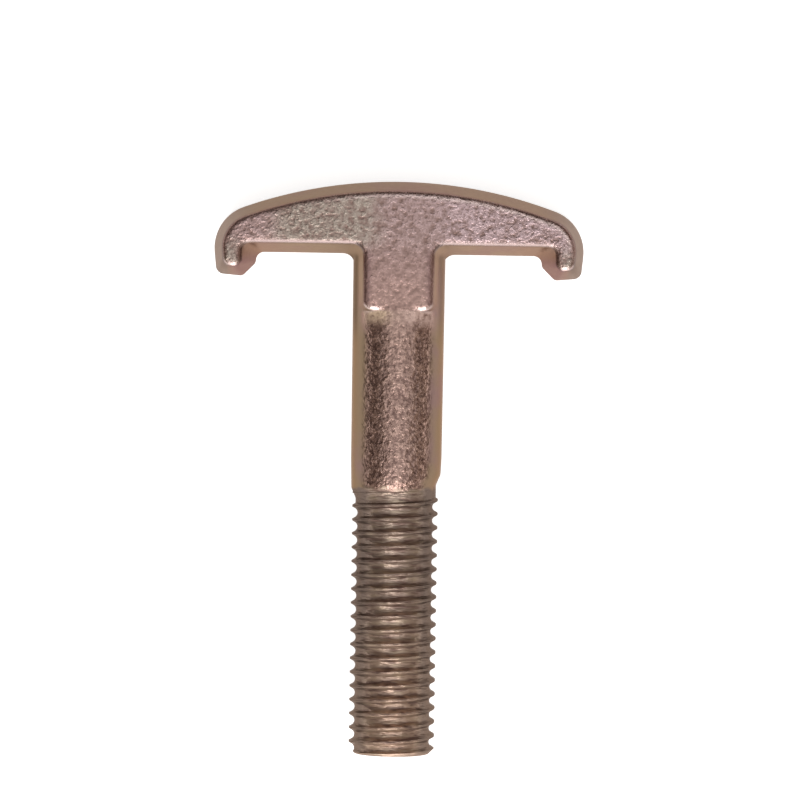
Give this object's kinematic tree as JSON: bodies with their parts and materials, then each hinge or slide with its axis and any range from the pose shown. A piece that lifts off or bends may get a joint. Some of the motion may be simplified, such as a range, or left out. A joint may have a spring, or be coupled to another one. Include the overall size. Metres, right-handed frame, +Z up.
{
  "type": "t slot bolt",
  "caption": "Steel T slot bolt with a wide arched hammer head, hooked toes, a raised flat tongue over the neck, a plain shank and a threaded end.",
  "frame": {"origin": "on the bolt's axis, in the plane of the arms' bearing edges, at the middle of the head's thickness", "axes": "the bolt lies flat: +X along the arms, +Y along the bolt from the threaded tip to the head, +Z up through the head's thickness, which is also the channel's length when the head is turned in"},
  "size_m": [0.0332, 0.0515, 0.0082],
  "materials": {
    "zinc_plated_steel": "blasted forging, zinc plated with a bronze-pink chromate, satin"
  },
  "bodies": {
    "root": {"t_bolt": "zinc_plated_steel"}
  },
  "joints": []
}
